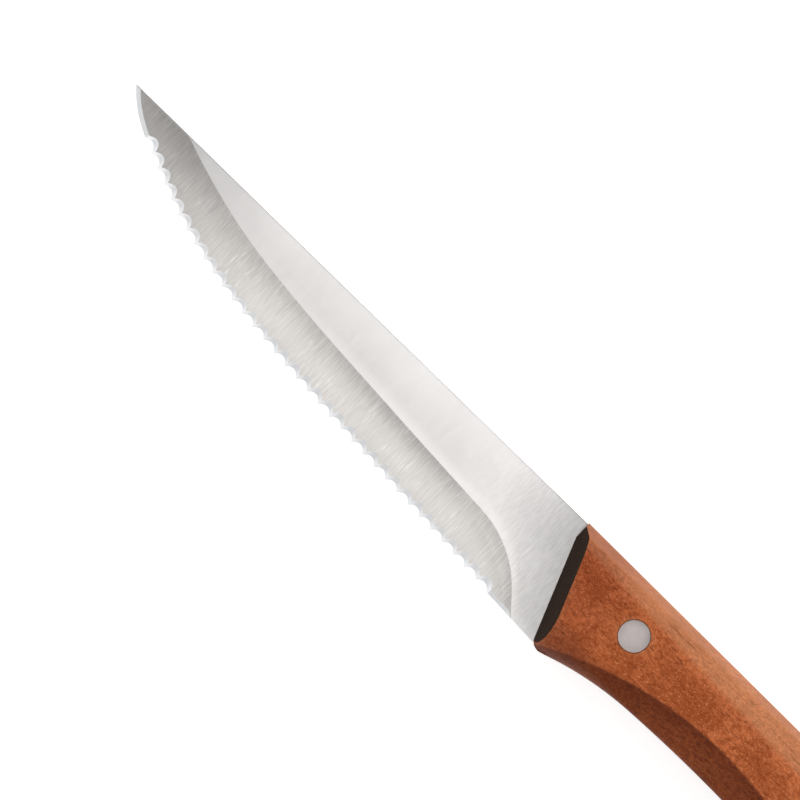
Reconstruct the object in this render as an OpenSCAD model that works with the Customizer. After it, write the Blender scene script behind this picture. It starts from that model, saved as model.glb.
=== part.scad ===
// Steak knife: a hollow-ground, serrated blade in a one-piece wooden handle, held by two rivets.
// It lies on its side: +X points to the butt, +Y to the spine and +Z up, away from the table.
// The origin is on the handle's lower side face, midway between the two rivets.

/* [Blade] */
// Length of the spine from the tip to the handle
blade_l = 120.6; // [110:0.1:130]
// Thickness of the steel
blade_t = 1.3; // [1:0.1:1.8]
// Angle between the spine and the edge at the tip
tip_angle = 50.7; // [48:0.1:53]
// Radius of the edge at the tip
point_radius = 20; // [18:0.5:24]
// Length of the edge that has that radius
point_run = 7.4; // [6.5:0.1:8.2]
// Radius of the rising front part of the edge
front_radius = 103; // [95:1:115]
// Length of the rising front part
front_run = 38; // [34:0.1:41]
// Radius of the belly of the edge
belly_radius = 310; // [260:5:360]
// Length of the belly
belly_run = 21; // [18:0.1:25]
// Radius of the nearly straight rear part of the edge
heel_radius = 2250; // [1900:50:2800]
// Distance of the point where the edge enters the handle behind the handle's front
heel_setback = 8; // [6:0.1:9]

/* [Hollow grind] */
// Thickness that the grind leaves at the edge
edge_t = 0.38; // [0.3:0.02:0.5]
// Width of the grind in front of the heel
grind_w = 10; // [9:0.1:11]
// Width of the grind at the tip
grind_tip_w = 6.3; // [5.5:0.1:7.5]
// Length of full steel at the edge in front of the handle, behind the grind
choil = 6.8; // [5:0.1:8]
// Radius of the grind's rear end, as the grinding wheel leaves it
plunge_radius = 22; // [19:1:25]
// Angle at which the grind's rear end meets the edge
plunge_angle = 45; // [40:1:50]

/* [Teeth] */
// Length of one scallop along the edge
tooth_pitch = 3.22; // [2.9:0.02:3.6]
// Depth of a scallop from point to root
tooth_depth = 1.1; // [0.9:0.05:1.25]
// Angle between the scallops' bevel and the blade
bevel_angle = 20; // [17:1:24]
// Length of the plain edge at the tip
plain_tip = 9; // [8:0.1:12]
// Length of the plain edge in front of the handle
plain_heel = 12.9; // [12:0.1:17]

/* [Tang] */
// Length of the tang inside the handle
tang_l = 88; // [84:1:92]
// Height of the tang at its end
tang_end_h = 12; // [9:0.5:15]
// Distance from the handle's front at which the tang starts to narrow
tang_taper_x = 40; // [36:1:50]
// Radius of the tang's corners
tang_corner_r = 3; // [1:0.5:4]

/* [Handle] */
// Length of the handle
handle_l = 110; // [107:1:120]
// Thickness of the handle
handle_t = 15; // [13:0.5:18]
// Distance by which the wood stands proud of the blade at the spine and along the tang
wood_proud = 0.25; // [0.2:0.05:0.5]
// Angle by which the handle's top falls towards the butt
top_fall = 0.5; // [0:0.1:1]
// Height of the upright part of the front end, below the spine
nose_h = 3.4; // [2.4:0.1:4.4]
// Angle by which the front end leans back from the blade to the side faces
nose_lean = 21; // [15:1:25]
// Distance by which the lower front corner hangs below the edge
chin_drop = 1.1; // [0.9:0.05:1.4]
// Radius of the lower front corner
chin_r = 1.3; // [0.8:0.1:1.6]
// Angle at which the underside rises behind the lower front corner
chin_rise = 17.2; // [16:0.2:18.4]
// Length of that straight rise
chin_run = 5.2; // [4.5:0.1:6]
// Radius of the bend into the waist
throat_radius = 66; // [60:1:72]
// Length of the bend into the waist
throat_run = 16.6; // [15.5:0.1:17.5]
// Radius of the waist
waist_radius = 323; // [290:5:360]
// Length of the waist
waist_run = 43; // [38:1:46]
// Radius of the swell in front of the butt
swell_radius = 140; // [120:5:170]
// Length of the swell
swell_run = 26; // [22:1:28]
// Distance by which the butt leans forward from top to bottom
butt_rake = 2; // [0:0.2:3]
// Radius of the butt's lower corner
butt_low_r = 8; // [5:0.5:9]
// Radius of the butt's upper corner
butt_top_r = 5; // [3:0.5:7]

/* [Handle facets] */
// Width of the upper facet at the front, seen from the side
top_facet_w = 3.6; // [2.8:0.1:4.2]
// Angle by which the upper facet widens towards the butt
top_facet_spread = 2.3; // [1.5:0.1:3]
// Angle between the upper facet and the side face
top_facet_tilt = 26; // [22:1:30]
// Width of the facet that breaks the top edge, seen from the side
top_edge_w = 2; // [1.6:0.1:2.1]
// Angle between that facet and the side face
top_edge_tilt = 70; // [64:1:72]
// Width of the lower facet at the waist, seen from the side
low_facet_w = 6.85; // [5.7:0.05:7.6]
// Radius of the line between the lower facet and the side face
low_facet_radius = 95; // [88:1:105]
// Distance of the middle of that line from the handle's front
low_facet_x = 47.8; // [45:0.2:52]
// Angle between the lower facet and the side face
low_facet_tilt = 32; // [26:1:36]
// Height of the facet on the lower front corner, seen from the side
chin_facet_h = 6.9; // [6.4:0.1:7.4]
// Angle by which that facet's line falls towards the butt
chin_facet_fall = 4; // [3.4:0.2:6]
// Angle between that facet and the side face
chin_facet_tilt = 30; // [26:1:34]
// Width of the facet around the butt
butt_facet_w = 2; // [1:0.1:3]
// Angle between the butt's facet and the side face
butt_facet_tilt = 40; // [30:1:50]

/* [Rivets] */
// Distance of the front rivet behind the handle's front
rivet_setback = 20.9; // [18:0.1:24]
// Distance between the two rivets
rivet_pitch = 55; // [50:0.5:58]
// Distance of the rivets below the spine
rivet_drop = 9.25; // [8.5:0.05:10]
// Diameter of the rivets' heads
head_d = 6.35; // [5.8:0.05:7]
// Thickness of the rivets' heads
head_t = 2; // [1.5:0.1:2.5]
// Outer diameter of the hollow half's tube
sleeve_d = 4.4; // [4:0.1:5]
// Diameter of the solid half's shank
pin_d = 2.8; // [2.2:0.1:3.2]
// Chamfer at the end of the shank
pin_chamfer = 0.4; // [0.2:0.1:0.6]
// Free space left above the tube and below the shank
rivet_slack = 0.3; // [0.2:0.1:0.6]

/* [Fits] */
// Gap between the tang and each wall of the saw slot
slot_gap = 0.05; // [0.03:0.01:0.1]
// Gap around a rivet's head in its counterbore
head_gap = 0.12; // [0.08:0.01:0.2]
// Gap around a rivet's tube in the wood and in the tang
sleeve_gap = 0.1; // [0.05:0.01:0.15]
// Gap between the shank and the tube
pin_gap = 0.03; // [0.02:0.01:0.05]
// Distance by which the saw slot runs on behind the tang
slot_extra = 3; // [2:0.5:5]
// Radius of the saw that cuts the slot
saw_radius = 80; // [60:5:120]

/* [Hidden] */

$fn = 96;
// Overrun of every cut
over = 1;
// Longest step along an outline's curves
outline_step = 2.2;
// Power by which the grind widens behind the tip: more is quicker
grind_power = 6.25;
// Step of the grind along the edge
grind_step = 2.5;
// Places across the grind from the edge to its line, as shares of its width
hollow_shares = [0.3, 0.55, 0.75, 0.9, 1];
// Power of the grind's profile: 1 would be a flat bevel, more is hollow near the line
hollow_power = 2.6;
// Thickness left at the very edge of the plain tip
tip_land = 0.05;
// Steps from the root of a scallop to each of its points
scallop_steps = 4;
// Share of the pitch by which a scallop's cut runs into its neighbours
over_share = 0.08;
// Share of the overrun by which every other scallop is cut from further out
stagger_share = 0.25;
// Share of the lower facet's radius that its cut reaches inward
cone_share = 0.25;
// Sides of the lower facet's cone
cone_sides = 360;
// Share of the handle's length over which the saw slot is open above and below
slot_share = 0.33;
// Steps in a rounded corner
corner_steps = 5;

// An outline is walked along arcs. A place is [x, y, heading], an arc [radius, run], a left turn positive,
// and a radius of zero a straight run.
function arc_end(p, r, l) = r == 0
    ? [p[0] + l * cos(p[2]), p[1] + l * sin(p[2]), p[2]]
    : let(a = p[2] + l / r * 180 / PI)
      [p[0] + r * (sin(a) - sin(p[2])), p[1] - r * (cos(a) - cos(p[2])), a];
function walk(p, arcs, s, i = 0) = s <= arcs[i][1] || i == len(arcs) - 1
    ? arc_end(p, arcs[i][0], s)
    : walk(arc_end(p, arcs[i][0], arcs[i][1]), arcs, s - arcs[i][1], i + 1);
function xy(p) = [p[0], p[1]];
function left_of(p, d) = [p[0] - d * sin(p[2]), p[1] + d * cos(p[2])];
function unit(v) = v / norm(v);

// Points of the arc that rounds corner b between a and c
function fillet(a, b, c, r) =
    let(u = unit(a - b), v = unit(c - b), half = acos(u * v) / 2,
        o = b + unit(u + v) * r / sin(half),
        start = atan2((b + u * r / tan(half) - o)[1], (b + u * r / tan(half) - o)[0]),
        turn = (180 - 2 * half) * sign(cross(v, u)))
    [for (i = [0:corner_steps]) o + r * [cos(start + turn * i / corner_steps), sin(start + turn * i / corner_steps)]];

// The edge, walked from the tip to the handle; the wood's front top corner is at [0, wood_proud]
tip = [-blade_l, 0, -tip_angle];
edge_arcs = [[point_radius, point_run], [front_radius, front_run], [belly_radius, belly_run], [heel_radius, 0]];
heel_start = walk(tip, edge_arcs, point_run + front_run + belly_run);
heel_turn = asin(sin(heel_start[2]) + (heel_setback - heel_start[0]) / heel_radius) - heel_start[2];
edge_l = point_run + front_run + belly_run + heel_radius * heel_turn * PI / 180;
function edge(s) = walk(tip, edge_arcs, s);
heel = edge(edge_l);

tooth_count = floor((edge_l - plain_tip - plain_heel) / tooth_pitch);
teeth_end = edge_l - plain_heel;
teeth_start = teeth_end - tooth_count * tooth_pitch;

// The handle's outline
function top_y(x) = wood_proud - x * tan(top_fall);
nose_slant = atan(heel_setback / (-heel[1] - nose_h));
chin = [heel_setback + chin_drop * tan(nose_slant), heel[1] - chin_drop, chin_rise];
underside_arcs = [[0, chin_run], [-throat_radius, throat_run], [-waist_radius, waist_run], [swell_radius, swell_run]];
underside_l = chin_run + throat_run + waist_run + swell_run;
function underside(s) = walk(chin, underside_arcs, s);
swell_end = underside(underside_l);
butt_top = [handle_l, top_y(handle_l)];
butt_low = [handle_l - butt_rake, swell_end[1] + (handle_l - butt_rake - swell_end[0]) * tan(swell_end[2])];

// The tang's outline keeps inside the wood by the distance that the wood stands proud
function tang_top(x) = [x, top_y(x) - wood_proud];
tang_keep = [for (s = [chin_run:outline_step:underside_l]) if (underside(s)[0] < tang_taper_x) underside(s)];
tang_corner_top = tang_top(tang_l);
tang_corner_low = tang_corner_top - [0, tang_end_h];

rivet_xs = [rivet_setback, rivet_setback + rivet_pitch];

// Places what is drawn from the handle's front and the blade's middle plane into the part's frame
module in_place() {
    translate([-rivet_setback - rivet_pitch / 2, rivet_drop, handle_t / 2]) children();
}

// Outline of the steel before it is ground
module blank_outline() {
    steps = ceil(edge_l / outline_step);
    polygon(concat(
        [for (i = [0:steps]) xy(edge(edge_l * i / steps))],
        [left_of(underside(chin_run), wood_proud)],
        [for (p = tang_keep) left_of(p, wood_proud)],
        fillet(left_of(tang_keep[len(tang_keep) - 1], wood_proud), tang_corner_low, tang_corner_top, tang_corner_r),
        fillet(tang_corner_low, tang_corner_top, [0, 0], tang_corner_r),
        [[0, 0]]
    ));
}

// Width of the grind at a place along the edge
function full_grind_w(s) = grind_w - (grind_w - grind_tip_w) * pow(1 - s / edge_l, grind_power);
plunge_arc_l = plunge_radius * sin(plunge_angle);
plunge_drop = plunge_radius * (1 - cos(plunge_angle));
plunge_straight_l = (grind_w - plunge_drop) / tan(plunge_angle);
plunge_start = edge_l - choil - plunge_straight_l - plunge_arc_l;
function grind_width(s) = s <= plunge_start
    ? full_grind_w(s)
    : s <= plunge_start + plunge_arc_l
    ? full_grind_w(s) - plunge_radius + sqrt(pow(plunge_radius, 2) - pow(s - plunge_start, 2))
    : (edge_l - choil - s) * tan(plunge_angle);

// Depth of the hollow at a distance from the grind's line
function hollow(d, w) = (blade_t - edge_t) / 2 * (1 - pow(max(0, 1 - d / w), hollow_power));

// A strip along the edge, as a solid: rings are lists of [distance inward from the edge, height]
module along_edge(stations, rings) {
    size = len(rings[0]);
    last = len(rings) - 1;
    polyhedron(
        points = [for (i = [0:last]) for (q = rings[i]) concat(left_of(edge(stations[i]), q[0]), q[1])],
        faces = concat(
            [[for (j = [0:size - 1]) j]],
            [[for (j = [size - 1:-1:0]) last * size + j]],
            [for (i = [0:last - 1]) for (j = [0:size - 1]) for (half = [0, 1])
                let(k = (j + 1) % size)
                half == 0 ? [i * size + j, (i + 1) * size + j, i * size + k]
                          : [i * size + k, (i + 1) * size + j, (i + 1) * size + k]]
        )
    );
}

// What the wheel takes from the upper side of the blade
module hollow_cut() {
    grind_from = -over;
    grind_to = edge_l - choil - over / 2;
    steps = ceil((grind_to - grind_from) / grind_step);
    stations = [for (i = [0:steps]) grind_from + (grind_to - grind_from) * i / steps];
    along_edge(stations, [for (s = stations)
        let(w = grind_width(s), full = full_grind_w(s), top = blade_t / 2 + over)
        concat(
            [[w + over, top], [-over, top]],
            [[-over, blade_t / 2 - hollow(w + over, full)]],
            [for (share = hollow_shares) [w * share, blade_t / 2 - hollow(w * (1 - share), full)]],
            [[w + over, blade_t / 2 - hollow(-over, full)]]
        )]);
}

// The plain tip's bevel, on the upper side only
module tip_bevel_cut() {
    bevel_from = -over;
    bevel_to = teeth_start;
    steps = ceil((bevel_to - bevel_from) / (outline_step / 2));
    reach = blade_t / tan(bevel_angle);
    stations = [for (i = [0:steps]) bevel_from + (bevel_to - bevel_from) * i / steps];
    along_edge(stations, [for (s = stations) [
        [reach, blade_t],
        [-over, blade_t],
        [-over, tip_land - edge_t / 2 - over * tan(bevel_angle)],
        [reach, tip_land - edge_t / 2 + reach * tan(bevel_angle)]
    ]]);
}

// A wheel held at the bevel's angle leaves scallops of the given pitch and depth. Seen along the bevel,
// a scallop is an arc of this radius.
scallop_rise = tooth_depth * sin(bevel_angle);
scallop_radius = (pow(tooth_pitch / 2, 2) + pow(scallop_rise, 2)) / 2 / scallop_rise;
scallop_half = asin(tooth_pitch * (1 + over_share) / 2 / scallop_radius);
scallop_reach = (tooth_depth + over) / cos(bevel_angle);
scallop_l = scallop_reach + edge_t / sin(bevel_angle) + over;

// What the wheel takes for scallop i. Every other one is cut from a little further out, so that no two
// faces coincide.
module scallop_cut(i) {
    p = edge(teeth_start + (i + 0.5) * tooth_pitch);
    root = left_of(p, tooth_depth);
    stagger = (i % 2) * over * stagger_share;
    translate([root[0], root[1], -edge_t / 2])
        rotate([0, 0, p[2] + 90])
            rotate([0, 90 - bevel_angle, 0])
                translate([0, 0, -scallop_reach - stagger])
                    linear_extrude(scallop_l + 2 * stagger) polygon(concat(
                        [for (j = [-scallop_steps:scallop_steps]) let(a = scallop_half * j / scallop_steps)
                            scallop_radius * [cos(a) - 1, sin(a)]],
                        [for (side = [1, -1]) [-blade_t - over - stagger, side * scallop_radius * sin(scallop_half)]]));
}

// The blade: stamped steel, ground hollow on both sides, scalloped from the upper side
module blade() {
    color("silver") in_place() difference() {
        translate([0, 0, -blade_t / 2]) linear_extrude(blade_t) blank_outline();
        hollow_cut();
        mirror([0, 0, 1]) hollow_cut();
        tip_bevel_cut();
        for (i = [0:tooth_count - 1]) scallop_cut(i);
        for (x = rivet_xs) translate([x, -rivet_drop, -blade_t / 2 - over])
            cylinder(d = sleeve_d + 2 * sleeve_gap, h = blade_t + 2 * over);
    }
}

// Side view of the wood
module handle_outline() {
    steps = ceil((underside_l - chin_run) / outline_step);
    polygon(concat(
        [[0, -nose_h]],
        fillet([0, -nose_h], xy(chin), xy(underside(chin_run)), chin_r),
        [for (i = [0:steps]) xy(underside(chin_run + (underside_l - chin_run) * i / steps))],
        fillet(xy(swell_end), butt_low, butt_top, butt_low_r),
        fillet(butt_low, butt_top, [0, wood_proud], butt_top_r),
        [[0, wood_proud]]
    ));
}

// A half space beyond an edge line: the cut's face starts at the given height and leans by tilt from the side face
module facet_cut(line_l, tilt) {
    rotate([tilt, 0, 0]) translate([-line_l, -handle_t, 0]) cube([2 * line_l, 2 * handle_t, handle_t]);
}

// The facets and the leaning front of the handle's upper half
module handle_side_cuts() {
    // Upper facet
    translate([0, top_y(0) - top_facet_w, handle_t / 2])
        rotate([0, 0, -top_fall - top_facet_spread]) facet_cut(2 * handle_l, -top_facet_tilt);
    // Facet along the top edge
    top_edge_z = handle_t / 2 - (top_facet_w - top_edge_w) * tan(top_facet_tilt);
    translate([0, top_y(0) - top_edge_w, top_edge_z])
        rotate([0, 0, -top_fall]) facet_cut(2 * handle_l, -top_edge_tilt);
    // Butt facet
    translate([handle_l - butt_facet_w, 0, handle_t / 2])
        rotate([0, 0, -90 - atan(butt_rake / (butt_top[1] - butt_low[1]))]) facet_cut(handle_l, -butt_facet_tilt);
    // Lower facet, a cone round the middle of its line
    waist_y = underside(chin_run + throat_run + waist_run / 2)[1];
    facet_reach = low_facet_radius * cone_share;
    translate([low_facet_x, waist_y + low_facet_w - low_facet_radius, handle_t / 2])
        rotate_extrude($fn = cone_sides) polygon([
            [low_facet_radius + over, over * tan(low_facet_tilt)],
            [low_facet_radius - facet_reach, -facet_reach * tan(low_facet_tilt)],
            [low_facet_radius - facet_reach, over * tan(low_facet_tilt)]
        ]);
    // Facet on the lower front corner
    translate([chin[0], chin[1] + chin_facet_h, handle_t / 2])
        rotate([0, 0, -chin_facet_fall]) facet_cut(handle_l, chin_facet_tilt);
    // Leaning front
    translate([0, -nose_h, blade_t / 2])
        rotate([0, 0, nose_slant]) rotate([0, nose_lean, 0])
            translate([-handle_t, -handle_l / 2, 0]) cube([handle_t, handle_l, handle_t]);
}

// Bore for a rivet through the wood, with a counterbore for each head
module rivet_bore() {
    translate([0, 0, -handle_t / 2 - over]) cylinder(d = sleeve_d + 2 * sleeve_gap, h = handle_t + 2 * over);
    for (side = [0, 1]) mirror([0, 0, side])
        translate([0, 0, handle_t / 2 - head_t]) cylinder(d = head_d + 2 * head_gap, h = head_t + over);
}

// The handle: one piece of wood, faceted, with a saw slot for the tang
module handle() {
    slot_l = tang_l + slot_extra;
    color("sienna") in_place() difference() {
        translate([0, 0, -handle_t / 2]) linear_extrude(handle_t) handle_outline();
        for (side = [0, 1]) mirror([0, 0, side]) handle_side_cuts();
        translate([0, 0, -blade_t / 2 - slot_gap]) linear_extrude(blade_t + 2 * slot_gap) union() {
            intersection() {
                translate([slot_l - saw_radius, heel[1] / 2]) circle(r = saw_radius);
                translate([handle_l * slot_share, heel[1] - saw_radius]) square([handle_l, 2 * saw_radius]);
            }
            translate([-over, heel[1] - saw_radius]) square([handle_l * slot_share + 2 * over, 2 * saw_radius]);
        }
        for (x = rivet_xs) translate([x, -rivet_drop, 0]) rivet_bore();
    }
}

// Solid half of a rivet: a head flush with the upper side and a shank inside the tube
module rivet_pin(x) {
    shank_l = handle_t - 2 * head_t - 2 * rivet_slack;
    color("gainsboro") in_place() translate([x, -rivet_drop, handle_t / 2 - head_t]) {
        cylinder(d = head_d, h = head_t);
        mirror([0, 0, 1]) cylinder(d = pin_d, h = shank_l - pin_chamfer);
        mirror([0, 0, 1]) translate([0, 0, shank_l - pin_chamfer])
            cylinder(d1 = pin_d, d2 = pin_d - 2 * pin_chamfer, h = pin_chamfer);
    }
}

// Hollow half of a rivet: a head flush with the lower side and a tube that takes the shank
module rivet_sleeve(x) {
    tube_l = handle_t - 2 * head_t - rivet_slack;
    color("gainsboro") in_place() translate([x, -rivet_drop, -handle_t / 2]) difference() {
        union() {
            cylinder(d = head_d, h = head_t);
            cylinder(d = sleeve_d, h = head_t + tube_l);
        }
        translate([0, 0, head_t + rivet_slack]) cylinder(d = pin_d + 2 * pin_gap, h = tube_l + over);
    }
}

blade();
handle();
rivet_pin(rivet_xs[0]);  // rivet_pin_front
rivet_sleeve(rivet_xs[0]);  // rivet_sleeve_front
rivet_pin(rivet_xs[1]);  // rivet_pin_rear
rivet_sleeve(rivet_xs[1]);  // rivet_sleeve_rear
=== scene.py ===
"""Steak knife, dressed over its CAD frame. All lengths are in metres and all angles in radians.

The knife lies on its side: +X points to the butt, +Y to the spine and +Z up. Places on the blade and
the handle are worked out from the handle's front: x runs to the butt, y up to the spine, z from the
middle plane.
"""
from math import asin, atan, atan2, ceil, cos, hypot, pi, radians, sin, sqrt, tan

import bmesh
import bpy
from mathutils import Matrix, Vector

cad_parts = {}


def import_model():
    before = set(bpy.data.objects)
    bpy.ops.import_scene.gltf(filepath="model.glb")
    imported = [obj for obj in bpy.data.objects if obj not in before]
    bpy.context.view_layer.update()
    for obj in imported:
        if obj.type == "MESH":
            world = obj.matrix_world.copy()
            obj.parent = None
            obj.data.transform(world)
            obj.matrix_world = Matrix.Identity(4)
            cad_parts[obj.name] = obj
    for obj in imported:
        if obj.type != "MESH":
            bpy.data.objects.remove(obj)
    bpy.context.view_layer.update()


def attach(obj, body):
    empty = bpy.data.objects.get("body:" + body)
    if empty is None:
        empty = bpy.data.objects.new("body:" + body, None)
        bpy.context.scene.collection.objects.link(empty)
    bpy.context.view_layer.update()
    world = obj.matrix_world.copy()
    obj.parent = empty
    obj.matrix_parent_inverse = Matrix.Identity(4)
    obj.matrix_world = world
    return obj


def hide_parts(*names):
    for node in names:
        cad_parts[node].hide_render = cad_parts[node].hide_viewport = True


# Place of the handle's front, the spine and the middle plane in the frame
FRONT_X, SPINE_Y, MID_Z = -0.0484, 0.00925, 0.0075

# Blade
BLADE_L, BLADE_T = 0.1206, 0.0013
TIP = (-BLADE_L, 0.0, radians(-50.7))
EDGE_ARCS = ((0.020, 0.0074), (0.103, 0.038), (0.310, 0.021), (2.25, 1.0))  # radius and run
HEEL_SETBACK = 0.008
EDGE_T, TIP_LAND = 0.00038, 0.00005
SPINE_ROUND = 0.00016

# Hollow grind
GRIND_W, GRIND_TIP_W, GRIND_POWER, CHOIL = 0.010, 0.0063, 6.25, 0.0061
PLUNGE_R, PLUNGE_ANGLE = 0.022, radians(45)
HOLLOW_POWER = 2.6
HOLLOW_ROWS = 9

# Teeth
TOOTH_PITCH, TOOTH_DEPTH = 0.00322, 0.0011
BEVEL = radians(20)
PLAIN_TIP, PLAIN_HEEL = 0.009, 0.0129
SCALLOP_STEPS = 10
HEEL_BEVEL_W, HEEL_BEVEL_FADE = 0.0008, 0.0015

# Tang
TANG_L, TANG_END_H, TANG_TAPER_X, TANG_CORNER_R = 0.088, 0.012, 0.040, 0.003

# Steps of the blade's mesh: along the edge, in front of and behind the teeth, and along the tang
EDGE_STEP = 0.0004
TEETH_IN_L, TEETH_IN_STEP, TEETH_OUT_L, TEETH_OUT_STEP = 0.0006, 0.0002, 0.0009, 0.0001
TANG_START_X, TANG_STEP = 0.0096, 0.0012
ALL_FLAT_X = 0.010  # behind it the steel has one finish

# Handle
HANDLE_L, HANDLE_T, WOOD_PROUD = 0.110, 0.015, 0.00025
TOP_FALL = radians(0.5)
NOSE_H, NOSE_LEAN = 0.0034, radians(21)
CHIN_DROP, CHIN_R, CHIN_RISE = 0.0011, 0.0024, radians(17.2)
UNDERSIDE_ARCS = ((0, 0.0052), (-0.066, 0.0166), (-0.323, 0.043), (0.140, 0.026))
BUTT_RAKE, BUTT_LOW_R, BUTT_TOP_R = 0.002, 0.008, 0.005
TOP_FACET_W, TOP_FACET_SPREAD, TOP_FACET_TILT = 0.0036, radians(2.3), radians(26)
TOP_EDGE_W, TOP_EDGE_TILT = 0.002, radians(70)
LOW_FACET_W, LOW_FACET_R, LOW_FACET_X, LOW_FACET_TILT = 0.0066, 0.080, 0.0478, radians(32)
CHIN_FACET_H, CHIN_FACET_FALL, CHIN_FACET_TILT = 0.0069, radians(4), radians(30)
BUTT_FACET_W, BUTT_FACET_TILT = 0.002, radians(40)

# How the wood's facets meet: height over which one turns into the next, at the front and further back
TOP_SOFT, TOP_EDGE_SOFT, LOW_SOFT = (0.0005, 0.0005), (0.00012, 0.0005), (0.0005, 0.00006)
SOFT_CHANGE = (0.008, 0.030)
NOSE_SOFT, BUTT_SOFT = 0.0001, 0.0003

# The wood's rounded rims, the least height of its sides, and where the front's shape fades out
TOP_ROUND, LOW_ROUND, CHIN_ROUND, CHIN_ROUND_FADE = 0.0006, 0.0010, 0.0044, (0.004, 0.024)
RIM_HALF, FRONT_BEND_FADE = 0.0009, (0, 0.02)

# Steps of the wood's mesh: from the front, along the middle, to the butt, across a side and over a rim
FRONT_STEPS_L, FRONT_STEP, MIDDLE_STEP = 0.0034, 0.00012, 0.0007
BUTT_STEPS_L, BUTT_STEP = 0.012, 0.0004
HANDLE_ROWS = 100
RIM_STEPS = (0, 0.04, 0.14, 0.3, 0.5, 0.74)

# Rivets and fits
RIVET_XS, RIVET_DROP = (0.0209, 0.0759), 0.00925
HEAD_D, HEAD_T, SLEEVE_D, PIN_D, PIN_CHAMFER = 0.00635, 0.002, 0.0044, 0.0028, 0.0004
HEAD_ROUND, HEAD_DOME = 0.00022, 0.00001
RIVET_SLACK, HEAD_GAP, SLEEVE_GAP, PIN_GAP = 0.0003, 0.00006, 0.0001, 0.00003
SLOT_GAP, SLOT_EXTRA, SAW_R = 0.00005, 0.003, 0.080
SLOT_HALF_H, SLOT_START_X, SLOT_STEPS = 0.020, -0.005, 40
OVER = 0.001  # overrun of the bores
SIDES = 96  # of a turned piece and of a bore

# Distances within which points are one, and angles over which an edge stays crisp
SHEET_WELD, TURNED_WELD, LEAST_EDGE = 2e-6, 1e-7, 1e-6
BLADE_CRISP, CRISP = radians(18), radians(50)

# Stage: lamps are (name, azimuth, elevation, distance, width, height, radiance, seen by metal alone)
STAGE_CENTRE, FLOOR_HALF = (-0.05, 0, 0), 3
LAMPS = (("key", 95, 38, 1.6, 1.8, 1.4, 3.2, False),
         ("key in metal", 95, 38, 1.6, 1.8, 1.4, 1.3, True),
         ("edge strip", 262, 50, 1.5, 1.6, 0.45, 1.9, False),
         ("edge strip in metal", 262, 50, 1.5, 1.6, 0.45, 2.8, True))
CEILING_NORMAL = (0.02, 0.06, 1)
CAMERA_PLACE, CAMERA_ROLL = (-0.09075, 0.00112, 1.50815), radians(44.25)
CAMERA_LENS, SENSOR_W = 353.4, 36  # in millimetres


# Walks along arcs: a place is (x, y, heading) and an arc (radius, run). A left turn has a positive radius
# and a straight run a radius of 0.

def arc_end(place, radius, run):
    x, y, heading = place
    if radius == 0:
        return x + run * cos(heading), y + run * sin(heading), heading
    turned = heading + run / radius
    return x + radius * (sin(turned) - sin(heading)), y - radius * (cos(turned) - cos(heading)), turned


def walk(place, arcs, run):
    for radius, length in arcs[:-1]:
        if run <= length:
            return arc_end(place, radius, run)
        place = arc_end(place, radius, length)
        run -= length
    return arc_end(place, arcs[-1][0], run)


def left_of(place, distance):
    return place[0] - distance * sin(place[2]), place[1] + distance * cos(place[2])


def edge_place(run):
    return walk(TIP, EDGE_ARCS, run)


def edge_length():
    """Run at which the edge reaches the handle."""
    run = sum(length for _, length in EDGE_ARCS[:-1])
    x, _, heading = edge_place(run)
    radius = EDGE_ARCS[-1][0]
    return run + radius * (asin(sin(heading) + (HEEL_SETBACK - x) / radius) - heading)


EDGE_L = edge_length()
HEEL = edge_place(EDGE_L)
TOOTH_COUNT = int((EDGE_L - PLAIN_TIP - PLAIN_HEEL) / TOOTH_PITCH)
TEETH_END = EDGE_L - PLAIN_HEEL
TEETH_START = TEETH_END - TOOTH_COUNT * TOOTH_PITCH
SCALLOP_RISE = TOOTH_DEPTH * sin(BEVEL)
SCALLOP_R = ((TOOTH_PITCH / 2) ** 2 + SCALLOP_RISE ** 2) / 2 / SCALLOP_RISE

NOSE_SLANT = atan(HEEL_SETBACK / (-HEEL[1] - NOSE_H))
CHIN = (HEEL_SETBACK + CHIN_DROP * tan(NOSE_SLANT), HEEL[1] - CHIN_DROP, CHIN_RISE)
UNDERSIDE_L = sum(length for _, length in UNDERSIDE_ARCS)


def top_y(x):
    return WOOD_PROUD - x * tan(TOP_FALL)


def underside(run):
    return walk(CHIN, UNDERSIDE_ARCS, run)


SWELL_END = underside(UNDERSIDE_L)
BUTT_LOW = (HANDLE_L - BUTT_RAKE, SWELL_END[1] + (HANDLE_L - BUTT_RAKE - SWELL_END[0]) * tan(SWELL_END[2]))
BUTT_HEADING = atan2(top_y(HANDLE_L) - BUTT_LOW[1], BUTT_RAKE)
WAIST_RUN = sum(run for _, run in UNDERSIDE_ARCS[:2]) + UNDERSIDE_ARCS[2][1] / 2
LOW_FACET_Y = underside(WAIST_RUN)[1] + LOW_FACET_W


def low_outline():
    """Start and arcs of the wood's lower outline, round the chin and the butt's lower corner."""
    down = NOSE_SLANT - pi / 2
    chin_cut = CHIN_R * tan((CHIN_RISE - down) / 2)
    butt_turn = BUTT_HEADING - SWELL_END[2]
    straight = (BUTT_LOW[0] - SWELL_END[0]) / cos(SWELL_END[2]) - BUTT_LOW_R * tan(butt_turn / 2)
    arcs = ((CHIN_R, CHIN_R * (CHIN_RISE - down)), (0, UNDERSIDE_ARCS[0][1] - chin_cut),
            *UNDERSIDE_ARCS[1:], (0, straight), (BUTT_LOW_R, BUTT_LOW_R * butt_turn))
    return arc_end((CHIN[0], CHIN[1], down), 0, -chin_cut), arcs


def top_outline():
    """Start and arcs of the wood's upper outline, round the butt's upper corner."""
    turn = pi - BUTT_HEADING - TOP_FALL
    straight = HANDLE_L / cos(TOP_FALL) - BUTT_TOP_R * tan(turn / 2)
    return (0, WOOD_PROUD, -TOP_FALL), ((0, straight), (-BUTT_TOP_R, BUTT_TOP_R * turn))


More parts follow.
